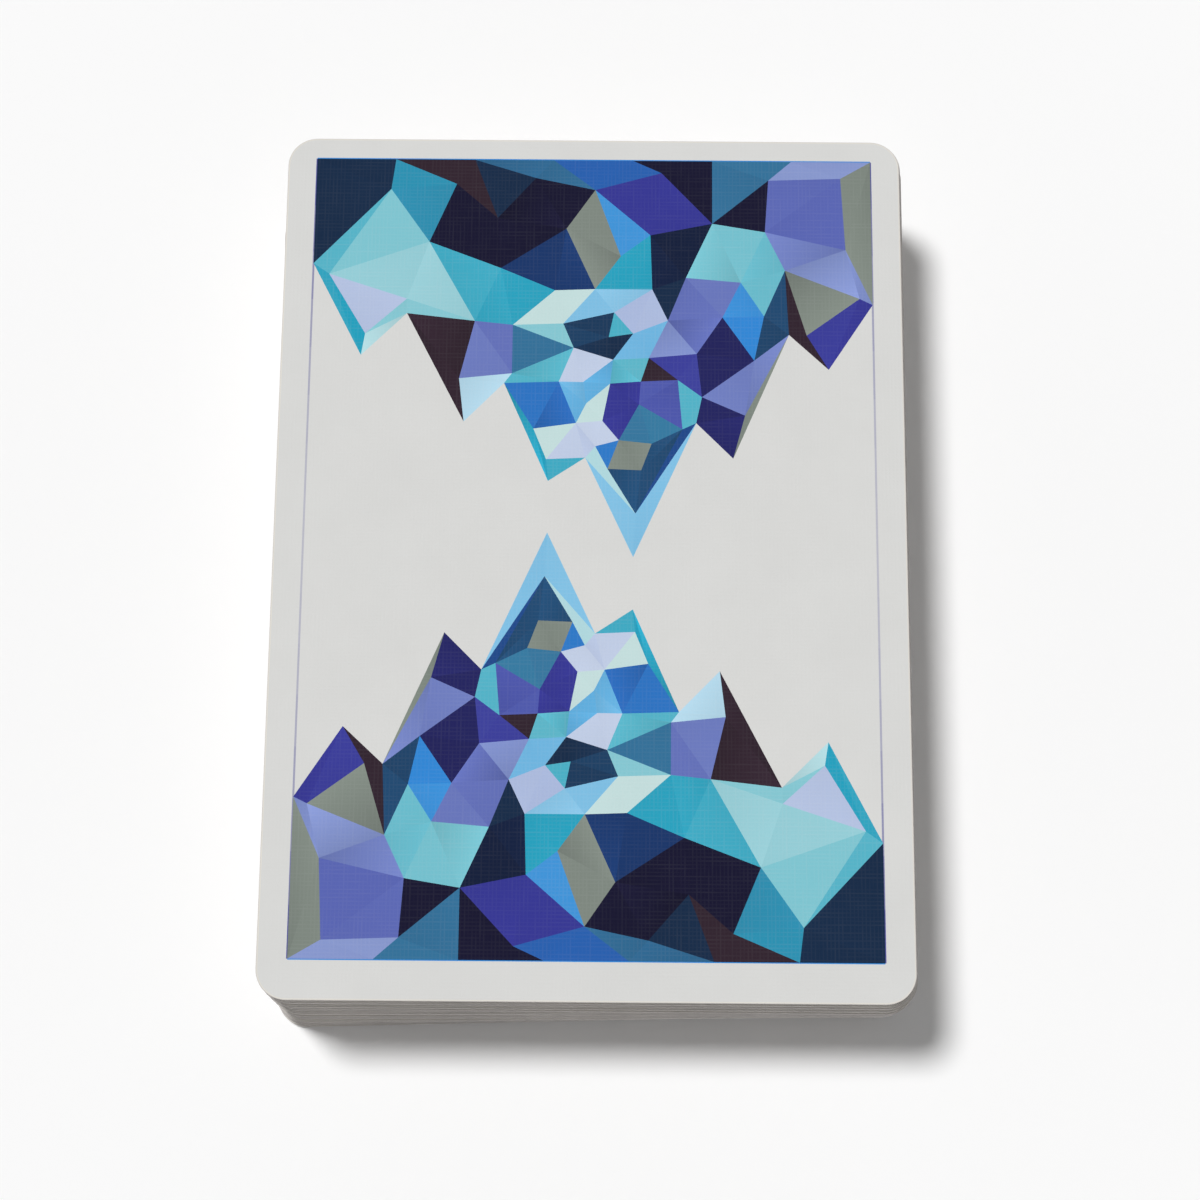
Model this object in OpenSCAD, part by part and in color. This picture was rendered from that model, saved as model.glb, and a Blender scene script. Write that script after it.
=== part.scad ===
// A pack of poker-size playing cards, lying face down and squared up by hand.
// Lengths are in millimetres and turns in degrees.
// The origin is the middle of the bottom card's face, which lies on the table.
// +X runs along that card's short edges, +Y along its long edges, and +Z up through the pack.

/* [Card] */
// Width of a card, along its short edges
card_w = 63.5; // [50:0.1:75]
// Length of a card, along its long edges
card_l = 88.9; // [80:0.1:125]
// Thickness of the pressed pasteboard
card_t = 0.28; // [0.2:0.01:0.5]
// Radius of the punched corners
corner_r = 3; // [0.5:0.1:8]
// Colour of the pasteboard
stock_colour = "whitesmoke"; // [whitesmoke, ivory, linen]

/* [Pack] */
// Film of air that the embossed finish holds between two cards
air_gap = 0.01; // [0.005:0.001:0.1]
// Lean of the whole pack to the right, from the bottom card to the top one
lean_x = 1.0; // [-5:0.01:5]
// Lean of the whole pack to the back, from the bottom card to the top one
lean_y = 0.67; // [-5:0.01:5]
// Turn of the top card on the bottom one, anticlockwise from above
pack_turn = -1.8; // [-6:0.05:6]
// Bow of the pack's middle to the right, past the straight lean
bow_x = 0.8; // [-3:0.01:3]
// Bow of the pack's middle to the back, past the straight lean
bow_y = -0.3; // [-3:0.01:3]
// Turn of the pack's middle past the straight turn, anticlockwise from above
bow_turn = -0.65; // [-3:0.05:3]
// Furthest that a card inside the pack strays from the lean and the bow, each way
stray = 0.14; // [0:0.01:1]
// Furthest that a card inside the pack strays from its turn, each way
stray_turn = 0.1; // [0:0.01:1]
// Shuffle that the strays are drawn from
shuffle = 7; // [1:1:99]

/* [Hidden] */
// Facets of a full circle where a preview draws the corners
$fn = 64;
RANKS = [
    "ace", "two", "three", "four", "five", "six", "seven",
    "eight", "nine", "ten", "jack", "queen", "king"
];
rising = [for (i = [0 : len(RANKS) - 1]) i];
falling = [for (i = [len(RANKS) - 1 : -1 : 0]) i];

// Names of one suit's cards, in the order of the ranks given
function suit_run(suit, order) = [for (i = order) str(RANKS[i], "_of_", suit)];

// The pack from the bottom card up, in the order of a new deck
NODES = concat(
    suit_run("spades", rising),
    suit_run("diamonds", rising),
    suit_run("clubs", falling),
    suit_run("hearts", falling),
    ["plain_joker", "coloured_joker"]
);

card_count = len(NODES);
top_level = card_count - 1;
pitch = card_t + air_gap;
corner_x = card_w / 2 - corner_r;
corner_y = card_l / 2 - corner_r;

// Each card's strays, as shares of the furthest ones
x_shares = rands(-1, 1, card_count, shuffle);
y_shares = rands(-1, 1, card_count, shuffle + 1);
turn_shares = rands(-1, 1, card_count, shuffle + 2);

// How far up the pack a card lies: 0 at the bottom, 1 at the top
function rise_share(level) = level / top_level;

// How far a card joins in the bow of the pack's middle: 0 at the bottom and the top, 1 halfway up
function bow_share(level) = 1 - pow(2 * rise_share(level) - 1, 2);

// The bottom card sets the axes and the top card ends the lean, so neither strays
function stray_share(shares, level) = level > 0 && level < top_level ? shares[level] : 0;

// A card's share of the lean, the bow and the furthest stray, along X, along Y or in turn
function settled(level, lean, bow, furthest, shares) =
    lean * rise_share(level) + bow * bow_share(level) + furthest * stray_share(shares, level);

// Place of a card's middle, and its turn about it
function card_x(level) = settled(level, lean_x, bow_x, stray, x_shares);
function card_y(level) = settled(level, lean_y, bow_y, stray, y_shares);
function card_turn(level) = settled(level, pack_turn, bow_turn, stray_turn, turn_shares);

// Outline that the punch cuts: two crossed bars with a disc at each corner
module card_outline() {
    square([card_w - 2 * corner_r, card_l], center = true);
    square([card_w, card_l - 2 * corner_r], center = true);
    for (side = [-1, 1])
        for (end = [-1, 1])
            translate([side * corner_x, end * corner_y])
                circle(r = corner_r);
}

// One card of the pack: two sheets of paper pressed together with glue, then punched out
module card(level) {
    color(stock_colour)
        translate([card_x(level), card_y(level), level * pitch])
            rotate(card_turn(level))
                linear_extrude(card_t)
                    card_outline();
}

for (level = [0 : top_level])
    card(level);
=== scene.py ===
"""Looks of a pack of playing cards that lies face down, squared up by hand."""
from collections import namedtuple
from math import cos, radians, sin

import bpy
import numpy as np
from mathutils import Matrix, Vector
from mathutils.geometry import delaunay_2d_cdt


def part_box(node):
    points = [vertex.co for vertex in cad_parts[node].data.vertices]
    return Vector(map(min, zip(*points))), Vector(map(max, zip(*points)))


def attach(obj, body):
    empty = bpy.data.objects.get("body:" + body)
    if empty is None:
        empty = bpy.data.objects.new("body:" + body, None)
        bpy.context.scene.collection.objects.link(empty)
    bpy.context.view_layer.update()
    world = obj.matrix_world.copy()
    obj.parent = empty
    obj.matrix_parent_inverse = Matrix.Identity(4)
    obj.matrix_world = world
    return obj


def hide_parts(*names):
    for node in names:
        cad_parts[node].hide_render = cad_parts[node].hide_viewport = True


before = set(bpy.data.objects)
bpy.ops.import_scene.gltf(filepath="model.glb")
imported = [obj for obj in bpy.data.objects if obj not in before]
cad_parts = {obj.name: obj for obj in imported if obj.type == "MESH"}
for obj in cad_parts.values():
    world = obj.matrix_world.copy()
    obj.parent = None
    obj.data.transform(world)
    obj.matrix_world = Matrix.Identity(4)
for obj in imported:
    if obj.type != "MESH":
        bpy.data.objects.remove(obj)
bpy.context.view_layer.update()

# Card blank
# A card is two sheets of paper pressed together with an opaque glue, then punched out of the printed sheet.
# The punch leaves round corners and rolls the cut edge over a little on both sides.
bottom_card = "ace_of_spades"
top_card = "coloured_joker"
edge_roll = 0.00006
roll_steps = 4
corner_steps = 12


def node_places(node):
    """Corners of a CAD card's mesh, one row each, in metres."""
    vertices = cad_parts[node].data.vertices
    places = np.empty(len(vertices) * 3, np.float32)
    vertices.foreach_get("co", places)
    return places.reshape(-1, 3).astype(float)


blank_places = node_places(bottom_card)
card_w, card_l, card_t = np.ptp(blank_places, axis=0)
far_edge = blank_places[np.isclose(blank_places[:, 1], card_l / 2, atol=edge_roll / 10)]
corner_r = card_w / 2 - np.abs(far_edge[:, 0]).max()


def punched_rings(insets, rises):
    """Rings round the cut edge, one for each inset and rise.

    A ring is a quarter circle of radius corner_r less the inset about each corner's centre, taken
    anticlockwise, so that its straight sides run between the quarters."""
    quarters = np.arange(4)[:, None] * np.pi / 2
    turns = (quarters + np.linspace(0, np.pi / 2, corner_steps + 1)).ravel()
    right = np.repeat([1, -1, -1, 1], corner_steps + 1) * (card_w / 2 - corner_r)
    back = np.repeat([1, 1, -1, -1], corner_steps + 1) * (card_l / 2 - corner_r)
    radius = corner_r - insets[:, None]
    x = right + radius * np.cos(turns)
    y = back + radius * np.sin(turns)
    z = np.broadcast_to(rises[:, None], x.shape)
    return np.stack([x, y, z], axis=-1)


# The edge's profile: a quarter round up from the face, a straight cut, and a quarter round in to the back
roll = np.linspace(0, np.pi / 2, roll_steps + 1)
roll_in = edge_roll * (1 - np.cos(roll))
roll_up = edge_roll * np.sin(roll)
rim = punched_rings(
    np.concatenate([roll_in[::-1], roll_in]),
    np.concatenate([edge_roll - roll_up[::-1], card_t - edge_roll + roll_up]),
)
rim_rings, rim_columns = rim.shape[:2]

# Printing
# The sheet is printed in spot inks before it is punched. A shape is an outline filled with one ink,
# which is laid on thinner and lighter along its fade; what is printed later covers what lies under it.
Printed = namedtuple("Printed", "outline ink fade")
no_fade = np.zeros(2)
ink_limits = (0.65, 1.4)
merge_gap = 0.0000005


def linear(code):
    """Linear red, green and blue of a colour written as six hex digits, by the sRGB curve."""
    shown = np.array([int(code[i:i + 2], 16) for i in (0, 2, 4)]) / 255
    return np.where(shown > 0.04045, ((shown + 0.055) / 1.055) ** 2.4, shown / 12.92)


stock = linear("d8d8d6")
# A painted highlight: a hairline round the rim, between the cut and the coating, in an ink lighter than the
# stock.
rim_highlight_ink = linear("dfdcd4")
rim_highlight_w = 0.00012
coating = Printed(punched_rings(np.array([edge_roll + rim_highlight_w]), np.zeros(1))[0, :, :2], stock, no_fade)


def anticlockwise(outline):
    """The outline, turned round if its shoelace area is negative."""
    x, y = outline.T
    area = (x * np.roll(y, -1) - y * np.roll(x, -1)).sum()
    return outline if area > 0 else outline[::-1]


def print_side(prints):
    """Cuts one side of the card into triangles along every printed outline, and inks them.

    All outlines go into one constrained Delaunay triangulation, and a triangle takes the ink that was
    printed over it last. The ink's share is one and the fade times the way from the shape's middle. The
    coating stops just short of the cut, and the hairline left there has a lighter ink, a painted highlight.
    Returns points, triangles and corner colours; the first points are those of the cut edge."""
    prints = [coating] + prints
    loops = [rim[-1, :, :2]] + [anticlockwise(p.outline) for p in prints]
    ends = np.cumsum([len(loop) for loop in loops])
    faces = [list(range(end - len(loop), end)) for loop, end in zip(loops, ends)]
    flat = [Vector(point) for point in np.concatenate(loops)]
    found, _, triangles, sources, _, layers = delaunay_2d_cdt(flat, [], faces, 1, merge_gap, True)
    first_source = np.array([min(s, default=len(flat)) for s in sources])
    order = np.argsort(first_source, kind="stable")
    rank = np.empty_like(order)
    rank[order] = np.arange(len(order))
    points = np.array(found)[order]
    points[:rim_columns] = loops[0]
    triangles = rank[np.array(triangles)]
    newest = np.array([max(layer) for layer in layers])
    inks = np.array([rim_highlight_ink] + [p.ink for p in prints])[newest][:, None]
    fades = np.array([no_fade] + [p.fade for p in prints])[newest][:, None]
    middles = np.array([loop.mean(axis=0) for loop in loops])[newest][:, None]
    thinned = ((points[triangles] - middles) * fades).sum(axis=-1, keepdims=True)
    return points, triangles, inks * np.clip(1 + thinned, *ink_limits)


# Linen varnish
# The printed sheet is varnished and pressed between rollers with a linen grain, which leaves fine raised
# threads both ways over a satin gloss. The cut edge shows bare paper fibre.
thread_pitch = 0.00038
thread_depth = 0.000012
thread_blend = 0.2
thread_strengths = (0.5, 1)
proud_height = 0.45
streak_range = (0.35, 0.68)
streak_draw = 0.09
streak_step = 7.3
fibre_size = 0.00035
card_place = "card_place"
ink_layer = "ink"

# How often a noise comes round in one pitch or fibre, then its detail and its roughness
streak_noise = (0.83, 2.0, 0.6)
cloud_noise = (0.045, 4.0, 0.6)
fine_noise = (1.7, 3.0, 0.65)


def add_node(tree, kind, inputs, **settings):
    """Adds a shader node; inputs gives each named or numbered socket a value or a socket to link from."""
    made = tree.nodes.new(kind)
    for name, value in settings.items():
        setattr(made, name, value)
    for key, value in inputs.items():
        if isinstance(value, bpy.types.NodeSocket):
            tree.links.new(value, made.inputs[key])
        else:
            made.inputs[key].default_value = value
    return made


def math_node(tree, operation, *values):
    """Output of a Math node on the given values or sockets."""
    return add_node(tree, "ShaderNodeMath", dict(enumerate(values)), operation=operation).outputs[0]


def noise_node(tree, place, often, detail, roughness):
    """Output of a Noise Texture node at the given place."""
    settings = {"Vector": place, "Scale": often, "Detail": detail, "Roughness": roughness}
    return add_node(tree, "ShaderNodeTexNoise", settings).outputs[0]


def range_node(tree, value, start=(0, 1), end=(0, 1)):
    """A value mapped from the start's range to the end's, and held within it."""
    return add_node(tree, "ShaderNodeMapRange", dict(enumerate([value, *start, *end]))).outputs[0]


def new_group(name, inputs, outputs):
    """An empty shader node group with the named sockets; returns its tree, its inputs and its outputs."""
    tree = bpy.data.node_groups.new(name, "ShaderNodeTree")
    for socket, kind in inputs:
        tree.interface.new_socket(socket, in_out="INPUT", socket_type=kind)
    for socket, kind in outputs:
        tree.interface.new_socket(socket, in_out="OUTPUT", socket_type=kind)
    return tree, tree.nodes.new("NodeGroupInput").outputs, tree.nodes.new("NodeGroupOutput").inputs


def linen_group():
    """Height of the linen grain and a mask of its proud threads.

    Threads run both ways as cosines of the place over the pitch, between 0 and 1. Each is stronger or
    weaker along its length by a noise drawn out along the thread, and the higher direction shows."""
    tree, given, results = new_group(
        "linen_grain",
        [("Place", "NodeSocketVector"), ("Pitch", "NodeSocketFloat")],
        [("Height", "NodeSocketFloat"), ("Threads", "NodeSocketFloat")],
    )
    place = add_node(tree, "ShaderNodeSeparateXYZ", {0: given["Place"]}).outputs
    across = math_node(tree, "DIVIDE", place["X"], given["Pitch"])
    along = math_node(tree, "DIVIDE", place["Y"], given["Pitch"])
    heights = []
    for number, (over, down) in enumerate([(across, along), (along, across)]):
        drawn = math_node(tree, "MULTIPLY", down, streak_draw)
        spot = add_node(tree, "ShaderNodeCombineXYZ", {0: over, 1: drawn, 2: number * streak_step})
        streak = noise_node(tree, spot.outputs[0], *streak_noise)
        strength = range_node(tree, streak, streak_range, thread_strengths)
        wave = math_node(tree, "COSINE", math_node(tree, "MULTIPLY", over, 2 * np.pi))
        raised = math_node(tree, "MULTIPLY_ADD", wave, 0.5, 0.5)
        heights.append(math_node(tree, "MULTIPLY", raised, strength))
    height = math_node(tree, "SMOOTH_MAX", *heights, thread_blend)
    tree.links.new(height, results["Height"])
    tree.links.new(range_node(tree, height, (proud_height, 1)), results["Threads"])
    return tree


def fibre_group():
    """Cloudy tone and fine height of paper fibre: two noises of the place over the fibre size."""
    tree, given, results = new_group(
        "paper_fibre",
        [("Place", "NodeSocketVector"), ("Size", "NodeSocketFloat")],
        [("Tone", "NodeSocketFloat"), ("Height", "NodeSocketFloat")],
    )
    often = math_node(tree, "DIVIDE", 1.0, given["Size"])
    scaled = add_node(tree, "ShaderNodeVectorMath", {0: given["Place"], "Scale": often}, operation="SCALE")
    tree.links.new(noise_node(tree, scaled.outputs[0], *cloud_noise), results["Tone"])
    tree.links.new(noise_node(tree, scaled.outputs[0], *fine_noise), results["Height"])
    return tree


linen = linen_group()
fibre = fibre_group()


def start_material(name):
    """A material with a Principled shader, the card's own place and its ink; returns all of them."""
    material = bpy.data.materials.new(name)
    material.use_nodes = True
    tree = material.node_tree
    shader = tree.nodes["Principled BSDF"]
    place = add_node(tree, "ShaderNodeAttribute", {}, attribute_name=card_place).outputs["Vector"]
    ink = add_node(tree, "ShaderNodeAttribute", {}, attribute_name=ink_layer).outputs["Color"]
    return material, tree, shader, place, ink


def shaded(tree, ink, factor, tones):
    """The ink made darker or lighter by a factor that is mapped from 0 and 1 to the two tones."""
    share = range_node(tree, factor, end=tones)
    return add_node(tree, "ShaderNodeVectorMath", {0: ink, "Scale": share}, operation="SCALE").outputs[0]


def press_in(tree, shader, height, distance, strength):
    """Bumps the shader's surface by the height."""
    given = {"Height": height, "Distance": distance, "Strength": strength}
    tree.links.new(add_node(tree, "ShaderNodeBump", given).outputs[0], shader.inputs["Normal"])


# Satin varnish: paper tones under it, painted glint tint and share, roughness from valley to thread, gloss
print_tones = (0.96, 1.04)
glint_tint = (0.75, 0.76, 0.78, 1)
glint_least = 0.016
glint_gain = 0.1
satin_range = (0.5, 0.38)
varnish_gloss = 0.35
fibre_share = 0.12
linen_press = 0.6


def varnished_print():
    """Ink on coated paper under a satin varnish with the linen grain pressed into it.

    Proud threads get a painted glint of pale tint, more on light inks than on dark ones, and shine more."""
    material, tree, shader, place, ink = start_material("varnished_print")
    grain = add_node(tree, "ShaderNodeGroup", {"Place": place, "Pitch": thread_pitch}, node_tree=linen)
    paper = add_node(tree, "ShaderNodeGroup", {"Place": place, "Size": fibre_size}, node_tree=fibre)
    toned = shaded(tree, ink, paper.outputs["Tone"], print_tones)
    # A painted glint: proud threads are mixed towards a pale tint, more on light inks than on dark ones.
    lightness = add_node(tree, "ShaderNodeRGBToBW", {0: ink}).outputs[0]
    share = math_node(tree, "MULTIPLY_ADD", lightness, glint_gain, glint_least)
    pale = math_node(tree, "MULTIPLY", grain.outputs["Threads"], share)
    tinted = {"Factor": pale, 6: toned, 7: glint_tint}
    varnished = add_node(tree, "ShaderNodeMix", tinted, data_type="RGBA")
    tree.links.new(varnished.outputs[2], shader.inputs["Base Color"])
    satin = range_node(tree, grain.outputs["Height"], end=satin_range)
    tree.links.new(satin, shader.inputs["Roughness"])
    shader.inputs["Specular IOR Level"].default_value = varnish_gloss
    both = math_node(tree, "MULTIPLY_ADD", paper.outputs["Height"], fibre_share, grain.outputs["Height"])
    press_in(tree, shader, both, thread_depth, linen_press)
    return material


# Cut paper: its plies drawn flat, tones of its clouds and its fibres, and a matt surface
ply_draw = (1, 1, 6)
cloud_tones = (0.84, 1.12)
fibre_tones = (0.85, 1.13)
matt_range = (0.75, 0.95)
paper_gloss = 0.2
paper_depth = edge_roll / 3
paper_press = 0.5


def cut_paper():
    """Bare paper at the punched edge: matt, cloudy, and drawn into fine layers through its thickness."""
    material, tree, shader, place, ink = start_material("cut_paper")
    layered = add_node(tree, "ShaderNodeVectorMath", {0: place, 1: ply_draw}, operation="MULTIPLY")
    given = {"Place": layered.outputs[0], "Size": fibre_size}
    paper = add_node(tree, "ShaderNodeGroup", given, node_tree=fibre)
    toned = shaded(tree, ink, paper.outputs["Tone"], cloud_tones)
    grained = shaded(tree, toned, paper.outputs["Height"], fibre_tones)
    tree.links.new(grained, shader.inputs["Base Color"])
    matt = range_node(tree, paper.outputs["Height"], end=matt_range)
    tree.links.new(matt, shader.inputs["Roughness"])
    shader.inputs["Specular IOR Level"].default_value = paper_gloss
    press_in(tree, shader, paper.outputs["Height"], paper_depth, paper_press)
    return material


print_finish = varnished_print()
edge_finish = cut_paper()

# Back print
# All backs carry the same two-way print inside a hairline frame: a ridge of flat facets rises from each
# short edge, pale at its crest and dark at its foot, with the bare stock left open between the two.
frame_w = 0.0575
frame_l = 0.0827
frame_shift = 0.00085
frame_middle = np.array([0, frame_shift])
frame_half = np.array([frame_w, frame_l]) / 2
hairline = 0.0002
hairline_lengths = 16
hairline_least = 0.3
ridge_seed = 14

# Crest of the lower ridge, as shares of half the frame's width and of its whole length
crest_shares = np.array([
    (-1.0, 0.19), (-0.84, 0.275), (-0.7, 0.23), (-0.5, 0.39), (-0.37, 0.345), (-0.15, 0.515),
    (0.02, 0.39), (0.15, 0.42), (0.31, 0.295), (0.45, 0.345), (0.66, 0.205), (0.82, 0.26), (1.0, 0.14),
])
foot_points = 8
heart_shares = (-0.1, -0.4)
foot_tone = 0.24
crest_gain = 0.5
crest_power = 1.6
facet_throws = 1500
facet_least = 0.0017
facet_growth = 0.135
border_gap = 0.0013
pair_share = 0.75

# Violet, blue and teal inks from dark to pale, and a plum, an olive and a mint between them
ink_ramps = np.array([[linear(code) for code in codes.split()] for codes in (
    "14122f 26276b 373896 515cae 7b8bc7 a3b3db c3cfe6",
    "0f1c3a 1b3f7a 2862b2 3088d6 56a9dc 82c1e4 b4d8ea",
    "132a47 245581 37789f 1e9fbd 4cb0c6 7cc4d0 b0d8de",
)])
accent_inks = np.array([linear(code) for code in ("31222e", "7f8880", "c4dedd")])
accent_share = 0.08
accent_span = 2.99
indigo_ink = ink_ramps[0, 2]
azure_ink = ink_ramps[1, 3]
hue_cuts = (0.34, 0.6)
hue_drift = 0.3
drift_length = 0.012
tilt_reach = 1.1
split_reach = 0.03
fade_reach = 20


def scattered(rng, low, high, spacing):
    """Points thrown into a box one by one; each stays if no kept point is nearer than the spacing there."""
    kept = np.empty((0, 2))
    for point in rng.uniform(low, high, (facet_throws, 2)):
        if (np.hypot(*(kept - point).T) > spacing(point)).all():
            kept = np.vstack([kept, point])
    return kept


def paired(rng, triangles):
    """A facet number for each triangle: most of them pair up with a neighbour to a four-sided facet."""
    facet = np.arange(len(triangles))
    free = np.ones(len(triangles), bool)
    for one in rng.permutation(len(triangles)):
        shared = (triangles[:, :, None] == triangles[one]).any(axis=2).sum(axis=1) == 2
        near = np.flatnonzero(shared & free)
        if free[one] and len(near) and rng.random() < pair_share:
            other = rng.choice(near)
            facet[other] = one
            free[[one, other]] = False
    return facet


def faceted(outline, seed, spacing, lightness):
    """Fills an outline with flat facets in cool inks.

    Points are scattered inside at the given spacing and triangulated with the outline. A facet's tone is
    the lightness at its middle, give or take a random tilt, and its hue drifts from side to side."""
    rng = np.random.default_rng(seed)
    outline = anticlockwise(outline)
    inner = scattered(rng, outline.min(axis=0), outline.max(axis=0), spacing)
    flat = [Vector(p) for p in np.concatenate([outline, inner])]
    ring = [list(range(len(outline)))]
    found, _, triangles, _, _, inside = delaunay_2d_cdt(flat, [], ring, 1, merge_gap, True)
    points = np.array(found)
    triangles = np.array([t for t, faces in zip(triangles, inside) if faces])
    facet = paired(rng, triangles)
    middles = points[triangles].mean(axis=1)[facet]
    tilt, hue, accent = rng.uniform(0, 1, (3, len(triangles)))[:, facet]
    split = rng.uniform(-split_reach, split_reach, len(triangles))
    tone = np.clip(lightness(middles) + tilt_reach * (tilt - 0.5) + split, 0, 1)
    ramp = ink_ramps[np.digitize(hue + hue_drift * np.sin(middles[:, 0] / drift_length), hue_cuts)]
    row = np.arange(len(tone))
    step = tone * (ramp.shape[1] - 1)
    below = np.minimum(step.astype(int), ramp.shape[1] - 2)
    inks = ramp[row, below] + (step - below)[:, None] * (ramp[row, below + 1] - ramp[row, below])
    accents = accent_inks[(tone * accent_span).astype(int)]
    inks = np.where(accent[:, None] < accent_share, accents, inks)
    lean = rng.normal(0, 1, (len(triangles), 2))
    fades = fade_reach * lean * np.abs(lean[:, :1])
    return [Printed(*parts) for parts in zip(points[triangles], inks, fades)]


def turned(prints):
    """The same print after half a turn."""
    return [Printed(-p.outline, p.ink, -p.fade) for p in prints]


def shifted(prints, way):
    """The same print moved by the given way."""
    return [p._replace(outline=p.outline + way) for p in prints]


def ridge():
    """The lower ridge, round the frame's middle: closest facets in its heart, palest under its crest."""
    crest = (crest_shares - [0, 0.5]) * [frame_half[0], frame_l]
    foot = np.linspace(1, -1, foot_points)[:, None] * [frame_half[0], 0] - [0, frame_half[1]]
    heart = heart_shares * frame_half

    def spacing(point):
        room = np.interp(point[0], *crest.T) - point[1]
        inside = min(room, *(frame_half - np.abs(point)))
        return facet_least + facet_growth * np.hypot(*(point - heart)) if inside > border_gap else np.inf

    def lightness(spots):
        height = np.interp(spots[:, 0], *crest.T) + frame_half[1]
        return foot_tone + crest_gain * np.clip((spots[:, 1] + frame_half[1]) / height, 0, 1) ** crest_power

    return faceted(np.concatenate([crest[::-1], foot[::-1]]), ridge_seed, spacing, lightness)


def hairline_frame():
    """The frame's thin lines in short lengths, whose ink fades out towards the middle of the long sides."""
    corners = np.array([(-1, -1), (1, -1), (1, 1), (-1, 1)]) * frame_half
    shapes = []
    for start, end in zip(corners, np.roll(corners, -1, axis=0)):
        way = (end - start) / np.hypot(*(end - start))
        out = np.array([way[1], -way[0]]) * hairline / 2
        full_ink = indigo_ink if way[1] else azure_ink
        stops = start + np.linspace(0, 1, hairline_lengths + 1)[:, None] * (end - start)
        for near, far in zip(stops[:-1], stops[1:]):
            cover = hairline_least + (1 - hairline_least) * ((near + far)[1] / frame_l) ** 2
            length = np.array([near - out, far - out, far + out, near + out])
            shapes.append(Printed(length, stock + cover * (full_ink - stock), no_fade))
    return shapes


lower_ridge = ridge()
back_side = print_side(shifted(hairline_frame() + lower_ridge + turned(lower_ridge), frame_middle))

# Spades
# The lowest thirteen cards, from the ace up. Each face carries its rank and pip in two corners, the lower
# one turned round so that the card reads from both ends, printed in solid black on the coated stock.
Suit = namedtuple("Suit", "name ink pip_outlines ace_h seed")
black_ink = linear("17171c")
index_inset = 0.0056
index_x = card_w / 2 - index_inset
rank_inset = 0.0088
rank_y = card_l / 2 - rank_inset
rank_h = 0.0083
index_pip_inset = 0.0168
index_pip_y = card_l / 2 - index_pip_inset
index_pip_h = 0.0056
pen = 0.13


def line(*points):
    """A straight pen stroke through the given points."""
    return np.array(points)


def arc(middle, radii, start, end, steps=14):
    """Points on an ellipse from one turn to another, in degrees anticlockwise from the right."""
    turn = np.radians(np.linspace(start, end, steps))[:, None]
    return np.array(middle) + np.array(radii) * np.hstack([np.cos(turn), np.sin(turn)])


def oval(middle, radii, steps=30):
    """A closed ellipse."""
    return arc(middle, radii, 0, 350, steps)


def bow(start, bend, end, steps=9):
    """A quadratic Bezier curve from start to end, drawn towards the bend."""
    t = np.linspace(0, 1, steps)[:, None]
    return (1 - t) ** 2 * np.array(start) + 2 * t * (1 - t) * np.array(bend) + t ** 2 * np.array(end)


def bows(start, *bends_and_ends):
    """Bezier curves one after the other, each drawn towards its bend, from the start to the last end."""
    path = [np.array([start])]
    for bend, end in zip(bends_and_ends[::2], bends_and_ends[1::2]):
        path.append(bow(path[-1][-1], bend, end)[1:])
    return np.concatenate(path)


def mirrored(half):
    """An outline from its right half, which runs from the top of the middle line to the bottom of it."""
    return np.concatenate([half, half[-2:0:-1] * [-1, 1]])


# A pip is one unit high; a spade is a heart upside down on a flared stem
heart_outline = mirrored(np.concatenate([
    arc((0.24, 0.2), (0.27, 0.27), 152.7, -20), bow((0.4937, 0.1077), (0.36, -0.16), (0, -0.5))[1:],
]))
stem = np.concatenate([
    bow((0.03, -0.1), (0.03, -0.44), (0.19, -0.5)), bow((-0.19, -0.5), (-0.03, -0.44), (-0.03, -0.1)),
])
spade_leaf = heart_outline * [1, -0.82] + [0, 0.09]
spades = Suit("spades", black_ink, [spade_leaf, stem], ace_h=0.04, seed=20)

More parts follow.
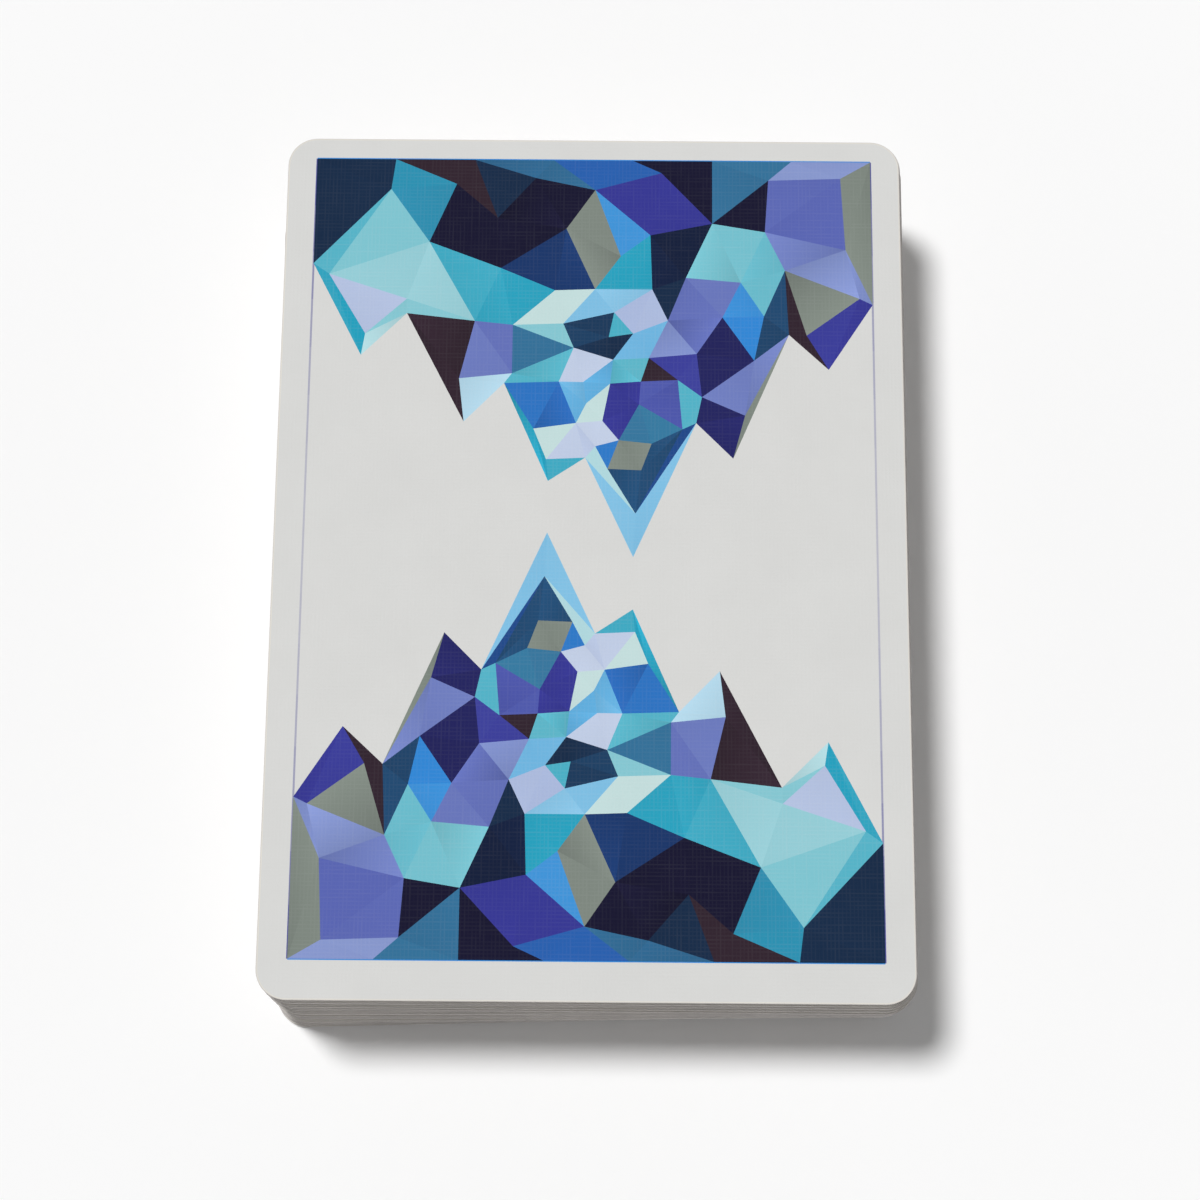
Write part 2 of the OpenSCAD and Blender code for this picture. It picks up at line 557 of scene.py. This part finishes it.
# Pen strokes of the ranks, each one unit high about its middle
stroke_paths = {
    "ace": [
        line((-0.31, -0.5), (-0.02, 0.5)), line((0.02, 0.5), (0.31, -0.5)),
        line((-0.2, -0.16), (0.2, -0.16)),
    ],
    "two": [
        arc((0, 0.21), (0.26, 0.24), 165, -38), line((0.2, 0.06), (-0.28, -0.44)),
        line((-0.31, -0.44), (0.31, -0.44)),
    ],
    "three": [arc((0, 0.22), (0.23, 0.22), 155, -90), arc((0, -0.21), (0.27, 0.24), 90, -155)],
    "four": [
        line((0.1, 0.5), (-0.31, -0.2)), line((-0.34, -0.22), (0.32, -0.22)),
        line((0.12, 0.5), (0.12, -0.5)),
    ],
    "five": [
        line((0.26, 0.44), (-0.24, 0.44)), line((-0.2, 0.46), (-0.24, 0.02)),
        arc((0, -0.15), (0.27, 0.29), 142, -148),
    ],
    "six": [
        arc((0, -0.17), (0.25, 0.27), 0, 180), arc((0, -0.17), (0.25, 0.27), 180, 360),
        arc((0.05, -0.1), (0.3, 0.54), 185, 70),
    ],
    "seven": [line((-0.3, 0.44), (0.3, 0.44)), line((0.26, 0.42), (-0.09, -0.5))],
    "eight": [
        arc((0, 0.22), (0.21, 0.22), 0, 180), arc((0, 0.22), (0.21, 0.22), 180, 360),
        arc((0, -0.2), (0.26, 0.24), 0, 180), arc((0, -0.2), (0.26, 0.24), 180, 360),
    ],
    "ten": [
        line((-0.36, 0.5), (-0.36, -0.5)), arc((0.12, 0), (0.23, 0.44), 0, 180),
        arc((0.12, 0), (0.23, 0.44), 180, 360),
    ],
    "jack": [
        line((0.16, 0.5), (0.16, -0.2)), arc((-0.07, -0.2), (0.23, 0.24), 0, -165),
        line((-0.04, 0.44), (0.34, 0.44)),
    ],
    "queen": [
        arc((0, 0.03), (0.3, 0.41), 0, 180), arc((0, 0.03), (0.3, 0.41), 180, 360),
        line((0.04, -0.2), (0.33, -0.52)),
    ],
    "king": [
        line((-0.24, 0.5), (-0.24, -0.5)), line((0.28, 0.5), (-0.24, -0.08)),
        line((-0.07, 0.1), (0.31, -0.5)),
    ],
}
stroke_paths["nine"] = [-path for path in stroke_paths["six"]]


def ribbon(path, width):
    """Outline of a pen stroke: the path moved half the width to each side, along its own normals."""
    ways = np.gradient(path, axis=0)
    normals = np.stack([-ways[:, 1], ways[:, 0]], axis=1) / np.hypot(*ways.T)[:, None]
    return np.concatenate([path + normals * width / 2, (path - normals * width / 2)[::-1]])


def inked(outlines, ink):
    """Shapes in one flat ink."""
    return [Printed(outline, ink, no_fade) for outline in outlines]


def pip(suit, x, y, height):
    """One pip in its suit's ink, with its middle at the given place."""
    return inked([outline * height + [x, y] for outline in suit.pip_outlines], suit.ink)


def two_way(prints):
    """A print and the same print turned half round the card's middle."""
    return prints + turned(prints)


def corner_index(rank, suit):
    """Rank and pip in the upper left corner, and again in the lower right one."""
    strokes = [ribbon(path, pen) * rank_h + [-index_x, rank_y] for path in stroke_paths[rank]]
    return two_way(inked(strokes, suit.ink) + pip(suit, -index_x, index_pip_y, index_pip_h))


# Places of the pips on a number card, as shares of the outer column and row
column_x = 0.0132
row_y = 0.0302
pip_h = 0.0146
corner_pips = [(-1, 1), (1, 1)]
side_pips = [(-1, 0), (1, 0)]
middle_pip = [(0, 0)]
third_pips = [(-1, 1 / 3), (1, 1 / 3)]
pip_pairs = {
    "two": [(0, 1)], "three": [(0, 1)], "four": corner_pips, "five": corner_pips, "six": corner_pips,
    "seven": corner_pips, "eight": corner_pips + [(0, 0.5)], "nine": corner_pips + third_pips,
    "ten": corner_pips + third_pips + [(0, 2 / 3)],
}
single_pips = {
    "two": [], "three": middle_pip, "four": [], "five": middle_pip, "six": side_pips,
    "seven": side_pips + [(0, 0.5)], "eight": side_pips, "nine": middle_pip, "ten": [],
}


def number_face(rank, suit):
    """Pips in two or three columns: paired ones point away from the middle, single ones stand upright."""
    upper = [p for x, y in pip_pairs[rank] for p in pip(suit, x * column_x, y * row_y, pip_h)]
    upright = [p for x, y in single_pips[rank] for p in pip(suit, x * column_x, y * row_y, pip_h)]
    return two_way(upper) + upright


# Court cards show a crowned figure without features, two ways, inside a thin frame
court_half = np.array([0.0205, 0.0345])
court_line = 0.00025
court_pip = (-0.0148, 0.0285)
court_pip_h = 0.0092
robe_facet = 0.0045
crown_facet = 0.0036
crown_rise = (0.0222, 0.033)
crown_seed_step = 100
skin_ink = linear("cfc6bf")
tone_ends = (0.15, 0.85)
robe = np.array([
    (-0.0178, 0.0005), (0.0178, 0.0005), (0.0168, 0.0075), (0.0098, 0.0122), (0.0035, 0.0135),
    (-0.0035, 0.0135), (-0.0098, 0.0122), (-0.0168, 0.0075),
])
collar = np.array([(-0.0048, 0.0138), (0, 0.0062), (0.0048, 0.0138), (0, 0.0108)])
belt = np.array([(-0.0178, -0.0006), (0.0178, -0.0006), (0.0178, 0.0006), (-0.0178, 0.0006)])
hair = {
    "jack": oval((0, 0.0182), (0.0066, 0.0058)),
    "queen": oval((0, 0.0168), (0.008, 0.0082)),
    "king": oval((0, 0.0165), (0.0056, 0.0085)),
}
head = {
    "jack": oval((0, 0.0182), (0.0042, 0.0055)),
    "queen": oval((0, 0.0184), (0.0042, 0.0054)),
    "king": oval((0, 0.0198), (0.0042, 0.0042)),
}
headgear = {
    "jack": np.array([
        (-0.0066, 0.0222), (0.0066, 0.0222), (0.0108, 0.0258), (0.0092, 0.0286), (0.0128, 0.0322),
        (0.0062, 0.0302), (-0.0022, 0.0292), (-0.0082, 0.0264),
    ]),
    "queen": np.concatenate([[(-0.0066, 0.0222)], bows(
        (0.0066, 0.0222), (0.0116, 0.0272), (0.0086, 0.0298), (0.0062, 0.0266), (0.0036, 0.027),
        (0.0036, 0.0312), (0, 0.033), (-0.0036, 0.0312), (-0.0036, 0.027), (-0.0062, 0.0266),
        (-0.0086, 0.0298), (-0.0116, 0.0272), (-0.0066, 0.0222),
    )[:-1]]),
    "king": np.array([
        (-0.0066, 0.0222), (0.0066, 0.0222), (0.0096, 0.0312), (0.0052, 0.0272), (0.0036, 0.0326),
        (0, 0.0278), (-0.0036, 0.0326), (-0.0052, 0.0272), (-0.0096, 0.0312),
    ]),
}


def even(size):
    """A spacing rule that asks for the same size everywhere."""
    return lambda point: size


def rising_tone(foot, crown):
    """A lightness rule that rises evenly from the first tone at the foot to the second at the crown."""
    dark, pale = tone_ends
    return lambda spots: dark + (pale - dark) * (spots[:, 1] - foot) / (crown - foot)


def court_face(rank, suit, seed):
    """The upper half, with a pip beside it, and the same turned round for the lower half.

    A half is a faceted robe, hair, a head and a collar over it, and faceted headgear."""
    corners = np.array([(-1, -1), (1, -1), (1, 1), (-1, 1), (-1, -1)]) * court_half
    lines = [ribbon(np.array(ends), court_line) for ends in zip(corners, corners[1:])]
    figure = faceted(robe, seed, even(robe_facet), rising_tone(0, robe[:, 1].max()))
    figure += inked([hair[rank]], ink_ramps[0, 0]) + inked([head[rank]], skin_ink)
    figure += inked([collar], suit.ink)
    crown_tone = rising_tone(*crown_rise)
    figure += faceted(headgear[rank], seed + crown_seed_step, even(crown_facet), crown_tone)
    figure += pip(suit, *court_pip, court_pip_h)
    return inked(lines, indigo_ink) + two_way(figure) + inked([belt], suit.ink)


def split_quads(corners):
    """Two triangles for each four corners, cut along the diagonal from the first one."""
    return corners.reshape(-1, 4)[:, [0, 1, 2, 0, 2, 3]].reshape(-1, 3)


# The cut edge as a grid of rings and columns, and its strip on the card's map, over the two sides
ring, column = np.mgrid[0:rim_rings - 1, 0:rim_columns]
edge_rings = split_quads(np.stack([ring, ring, ring + 1, ring + 1], axis=-1))
edge_columns = split_quads(np.stack([column, column + 1, column + 1, column], axis=-1))
edge_triangles = edge_rings * rim_columns + edge_columns % rim_columns
rim_steps = np.hypot(*np.diff(rim[0, :, :2], axis=0, append=rim[0, :1, :2]).T)
walked = np.insert(np.cumsum(rim_steps), 0, 0) / rim_steps.sum()
edge_strip = np.stack([walked[edge_columns], edge_rings / (rim_rings - 1)], axis=-1)
edge_map_size = (0.98, 0.04)
edge_map_start = (0.01, 0.72)
edge_map = edge_strip * edge_map_size + edge_map_start
side_map_size = (0.48, 0.67)
side_map = np.array(side_map_size) / [card_w, card_l]
back_map_middle = np.array([0.25, 0.345])
face_map_middle = np.array([0.75, 0.345])
edge_ink = linear("c4bfbc")
edge_tones = (0.82, 1.05)
tone_rng = np.random.default_rng(5)


def laid(local, node):
    """Places on a level card, moved and turned to where the CAD card lies, along its longest direction."""
    places = node_places(node)
    low, high = places.min(axis=0), places.max(axis=0)
    middle = (low + high)[:2] / 2
    along = np.linalg.svd(places[:, :2] - middle, full_matrices=False)[2][0]
    along = along * np.sign(along[1])
    across = np.array([along[1], -along[0]])
    flat = local[:, :1] * across + local[:, 1:2] * along + middle
    return np.insert(flat, 2, local[:, 2] + low[2], axis=1)


def lay_card(node, face):
    """Joins a printed face, the back and the cut edge to one closed mesh, laid where the CAD card lies.

    A face is printed as it reads from below, so its prints are mirrored from side to side."""
    face_points, face_triangles, face_colours = print_side([
        Printed(p.outline * [-1, 1], p.ink, p.fade * [-1, 1]) for p in face
    ])
    back_points, back_triangles, back_colours = back_side
    before_back = rim_rings * rim_columns - rim_columns
    before_face = before_back + len(back_points) - rim_columns
    face_new = np.where(face_triangles < rim_columns, face_triangles, face_triangles + before_face)
    triangles = np.concatenate([edge_triangles, back_triangles + before_back, face_new[:, ::-1]])
    local = np.concatenate([
        rim.reshape(-1, 3),
        np.insert(back_points[rim_columns:], 2, card_t, axis=1),
        np.insert(face_points[rim_columns:], 2, 0, axis=1),
    ])
    edge_tone = edge_ink * tone_rng.uniform(*edge_tones)
    edge_colours = np.broadcast_to(edge_tone, (*edge_triangles.shape, 3))
    colours = np.concatenate([edge_colours, back_colours, face_colours[:, ::-1]])
    back_map = back_points[back_triangles] * side_map + back_map_middle
    face_map = face_points[face_triangles[:, ::-1]] * side_map + face_map_middle
    card_map = np.concatenate([edge_map, back_map, face_map])
    mesh = bpy.data.meshes.new(node + "_card")
    mesh.from_pydata(laid(local, node), [], triangles)
    mesh.materials.append(print_finish)
    mesh.materials.append(edge_finish)
    is_edge = np.arange(len(triangles)) < len(edge_triangles)
    mesh.polygons.foreach_set("material_index", is_edge.astype(np.int32))
    mesh.polygons.foreach_set("use_smooth", is_edge)
    mesh.uv_layers.new(name="OFBake").uv.foreach_set("vector", card_map.ravel())
    rgba = np.insert(colours, 3, 1, axis=-1)
    mesh.attributes.new(ink_layer, "FLOAT_COLOR", "CORNER").data.foreach_set("color", rgba.ravel())
    mesh.attributes.new(card_place, "FLOAT_VECTOR", "POINT").data.foreach_set("vector", local.ravel())
    piece = bpy.data.objects.new(node + "_card", mesh)
    bpy.context.scene.collection.objects.link(piece)
    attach(piece, node)
    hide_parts(node)


def lay_suit(suit, ace_inset=()):
    """Lays a suit's ace, with one large pip and what is set into it, its number cards and its courts."""
    ace = corner_index("ace", suit) + pip(suit, 0, 0, suit.ace_h) + list(ace_inset)
    lay_card("ace_of_" + suit.name, ace)
    for rank in pip_pairs:
        lay_card(f"{rank}_of_{suit.name}", corner_index(rank, suit) + number_face(rank, suit))
    for number, rank in enumerate(hair):
        court = court_face(rank, suit, suit.seed + number)
        lay_card(f"{rank}_of_{suit.name}", corner_index(rank, suit) + court)


# The large pip of the ace has a faceted one set into it
inset_seed = 15
inset_leaf = heart_outline * [0.62, -0.51] + [0, 0.075]
inset_outline = inset_leaf * spades.ace_h
inset_tone = rising_tone(-spades.ace_h / 3, spades.ace_h / 3)
lay_suit(spades, faceted(inset_outline, inset_seed, even(spades.ace_h / 10), inset_tone))

# Diamonds
# The next thirteen cards, on the same stock and under the same back. Their pip is a square on its corner
# with sides that curve in, printed in solid red.
red_ink = linear("b3202c")
diamond_half = bows((0, 0.5), (0.165, 0.22), (0.38, 0), (0.165, -0.22), (0, -0.5))
lay_suit(Suit("diamonds", red_ink, [mirrored(diamond_half)], ace_h=0.024, seed=30))

# Clubs
# Thirteen cards from the king down, as a new pack is sorted. Their pip is three round leaves on a flared
# stem, with a small round that closes the gap between them, printed in solid black.
leaf_r = (0.235, 0.235)
leaves = [oval(middle, leaf_r, 24) for middle in ((0, 0.255), (0.255, -0.1), (-0.255, -0.1))]
knot = oval((0, 0.02), (0.12, 0.12), 12)
lay_suit(Suit("clubs", black_ink, leaves + [knot, stem], ace_h=0.024, seed=40))

# Hearts
# Thirteen cards from the king down, the highest suit in the pack. Their pip is two round lobes that run
# down to a point, printed in solid red.
lay_suit(Suit("hearts", red_ink, [heart_outline], ace_h=0.024, seed=50))

# Jokers
# The two spare cards lie on top of the pack. Each carries a cap with three bells between two corner stars,
# printed in greys on the lower card and in blues on the top one.
star_tips = np.arange(10)
star_step = 36
star_outer = 0.5
star_inner = 0.2
star_turns = np.radians(90 + star_step * star_tips)
star_r = np.where(star_tips % 2, star_inner, star_outer)
star = (star_r * [np.cos(star_turns), np.sin(star_turns)]).T
star_h = 0.008
luminance = (0.2126, 0.7152, 0.0722)
cap_seed = 60
cap_facet = 0.0042
cap = bows(
    (0.01, -0.006), (0.012, 0.002), (0.02, -0.003), (0.019, 0.012), (0.006, 0.008), (0.003, 0.014),
    (0.002, 0.021), (-0.005, 0.015), (-0.006, 0.008), (-0.019, 0.012), (-0.02, -0.003),
    (-0.012, 0.002), (-0.01, -0.006),
)
cap_band = np.array([(-0.0106, -0.0092), (0.0106, -0.0092), (0.0106, -0.006), (-0.0106, -0.006)])
bell_r = (0.0017, 0.0017)
bells = [oval(tip, bell_r, 24) for tip in ((0.0205, -0.0044), (0.0021, 0.0226), (-0.0205, -0.0044))]


def joker_face(ink):
    """A star in two corners and the faceted cap between them, with its band and bells in the given ink."""
    corner_stars = two_way(inked([star * star_h + [-index_x, rank_y]], ink))
    cap_tone = rising_tone(cap[:, 1].min(), cap[:, 1].max())
    return corner_stars + faceted(cap, cap_seed, even(cap_facet), cap_tone) + inked(bells + [cap_band], ink)


def greyed(prints):
    """The same print in greys of the same lightness."""
    return [p._replace(ink=np.full(3, p.ink @ luminance)) for p in prints]


lay_card("plain_joker", greyed(joker_face(black_ink)))
lay_card(top_card, joker_face(indigo_ink))

# Table
# A plain painted table top, pale and matt, far larger than the view.
# The pack lies loose on it, and it is no part of the pack.
table_half = 4.0
table_tone = 0.95
table_grain = 0.0008
table_rough = (0.85, 0.95)
table_depth = table_grain / 50
table_press = 0.2
table_corners = np.array([(-1, -1, 0), (1, -1, 0), (1, 1, 0), (-1, 1, 0)]) * table_half
mesh = bpy.data.meshes.new("table_top")
mesh.from_pydata(table_corners, [], [(0, 1, 2, 3)])
table = bpy.data.objects.new("table_top", mesh)
bpy.context.scene.collection.objects.link(table)
paint = bpy.data.materials.new("table_paint")
paint.use_nodes = True
tree = paint.node_tree
shader = tree.nodes["Principled BSDF"]
spot = add_node(tree, "ShaderNodeTexCoord", {}).outputs["Object"]
grain = add_node(tree, "ShaderNodeGroup", {"Place": spot, "Size": table_grain}, node_tree=fibre)
tree.links.new(range_node(tree, grain.outputs["Height"], end=table_rough), shader.inputs["Roughness"])
press_in(tree, shader, grain.outputs["Height"], table_depth, table_press)
shader.inputs["Base Color"].default_value = (table_tone, table_tone, table_tone, 1)
shader.inputs["Specular IOR Level"].default_value = 0
mesh.materials.append(paint)

# Light
# A soft key light stands high at the back on the left, far enough away to light the table evenly.
# White walls and a dimmer ceiling fill in.
scene = bpy.context.scene
scene.view_settings.view_transform = "Standard"
wall_tone = 0.955
ceiling_tone = 0.155
wall_top = (0.3, 0.42)
world = bpy.data.worlds.new("studio")
scene.world = world
world.use_nodes = True
sky = world.node_tree
way = add_node(sky, "ShaderNodeTexCoord", {}).outputs["Generated"]
height = add_node(sky, "ShaderNodeSeparateXYZ", {0: way}).outputs["Z"]
glow = range_node(sky, height, wall_top, (wall_tone, ceiling_tone))
sky.links.new(glow, sky.nodes["Background"].inputs["Color"])
key_share = 0.754
key_spread = radians(13)
sun_drop = Vector((0.335, -0.305, -1.0)).normalized()
sun = bpy.data.lights.new("key", "SUN")
sun.angle = key_spread
sun.energy = key_share * np.pi / -sun_drop.z
key = bpy.data.objects.new("key", sun)
key.visible_glossy = False
key.rotation_mode = "QUATERNION"
key.rotation_quaternion = sun_drop.to_track_quat("-Z", "Y")
scene.collection.objects.link(key)

# Camera
# The camera stands in front of the pack and looks down on it steeply, from a little under a quarter of a
# metre above the top card. The focal length and the aim are given for a square frame of 1200 pixels.
sensor_mm = 36
photo_side = 1200
focal_px = 2403
view_rise = radians(76.53)
view_turn = radians(-1.13)
view_roll = radians(-0.21)
view_far = 0.2403
aim_right = 0.0010
aim_up = -0.0047
low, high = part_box(top_card)
aim = Vector(((low.x + high.x) / 2, (low.y + high.y) / 2, high.z))
back = Vector((sin(view_turn) * cos(view_rise), -cos(view_turn) * cos(view_rise), sin(view_rise)))
level = Vector((0, 0, 1)).cross(back).normalized()
upright = back.cross(level)
right = level * cos(view_roll) + upright * sin(view_roll)
up = upright * cos(view_roll) - level * sin(view_roll)
lens = bpy.data.cameras.new("camera")
lens.sensor_width = sensor_mm
lens.lens = focal_px / photo_side * sensor_mm
lens.clip_start = 0.01
camera = bpy.data.objects.new("camera", lens)
place = aim + right * aim_right + up * aim_up + back * view_far
camera.matrix_world = Matrix.Translation(place) @ Matrix((right, up, back)).transposed().to_4x4()
scene.collection.objects.link(camera)
scene.camera = camera
